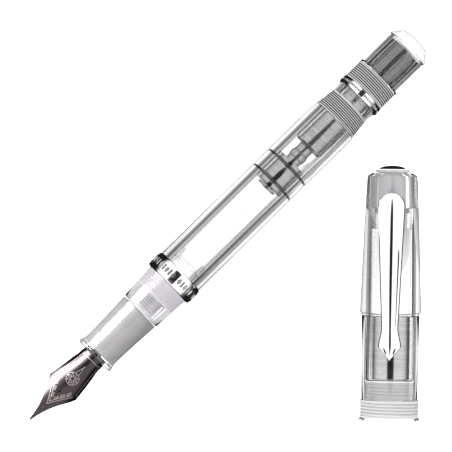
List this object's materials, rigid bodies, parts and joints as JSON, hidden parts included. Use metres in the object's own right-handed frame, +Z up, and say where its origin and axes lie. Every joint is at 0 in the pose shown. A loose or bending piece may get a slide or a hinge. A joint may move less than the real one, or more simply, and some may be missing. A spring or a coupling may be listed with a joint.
{
  "type": "fountain pen",
  "caption": "Clear piston-filling fountain pen lying uncapped with a dark nib, metal bands and a turning knob under its tail cap; its cap with a spear clip lies beside it.",
  "frame": {"origin": "centre of the footprint of pen and cap together, on the surface they lie on", "axes": "+Z up from that surface, -Y out of the cap's mouth, the pen lies at about 45 degrees with its nib towards -X and -Y"},
  "size_m": [0.098, 0.0984, 0.0178],
  "materials": {
    "nib_metal": "dark polished metal",
    "feed_plastic": "satin",
    "grip_resin": "translucent satin",
    "clear_resin": "polished clear",
    "tinted_resin": "polished, faintly tinted",
    "white_seal": "satin",
    "chrome": "bright",
    "steel": "turned",
    "dark_steel": "turned dark",
    "brass": "turned",
    "rubber": "matte",
    "black_gem": "gloss"
  },
  "bodies": {
    "pen": {"barrel": "clear_resin", "nib": "nib_metal", "feed": "feed_plastic", "grip_section": "grip_resin", "section_core": "clear_resin", "tenon_seal": "white_seal", "section_gasket": "white_seal", "thread_collar": "tinted_resin", "barrel_band": "chrome", "mechanism_housing": "steel", "spindle_bush": "white_seal", "housing_collar": "clear_resin", "tail_band": "chrome"},
    "piston": {"piston_head": "steel", "piston_seal_front": "rubber", "piston_seal_rear": "rubber", "piston_rod": "steel"},
    "knob": {"piston_knob": "dark_steel", "spindle": "brass"},
    "tail_cap": {"tail_cap": "clear_resin", "tail_finial": "clear_resin"},
    "cap": {"cap_shell": "clear_resin", "clip_tongue": "chrome", "cap_ring": "clear_resin", "cap_sleeve": "clear_resin", "cap_mouth": "clear_resin", "cap_liner": "steel", "inner_cap": "clear_resin", "finial_post": "clear_resin", "finial_gem": "black_gem"},
    "clip": {"clip": "chrome", "clip_foot": "chrome"}
  },
  "joints": [
    {"name": "knob_turn", "type": "hinge", "parent": "pen", "child": "knob", "pos_m": [0.03696, 0.03709, 0.00644], "axis": [0.7058, 0.7083, -0.0086], "range_deg": [-334, 2188]},
    {"name": "piston_slide", "type": "slide", "parent": "pen", "child": "piston", "axis": [0.7058, 0.7083, -0.0086], "range_m": [-0.0243, 0.0037]},
    {"name": "tail_cap_slide", "type": "slide", "parent": "pen", "child": "tail_cap", "axis": [0.7058, 0.7083, -0.0086], "range_m": [0, 0.03]},
    {"name": "cap_slide", "type": "slide", "parent": "pen", "child": "cap", "axis": [0, -1, 0], "range_m": [0, 0.048]},
    {"name": "clip_flex", "type": "hinge", "parent": "cap", "child": "clip", "pos_m": [0.03972, 0.00657, 0.01536], "axis": [-0.9877, 0, -0.1564], "range_deg": [0, 3], "stiffness_Nm_per_rad": 1.9}
  ],
  "couplings": [
    {"joint": "knob_turn", "follows": "piston_slide", "rad_per_m": -1570.8}
  ]
}
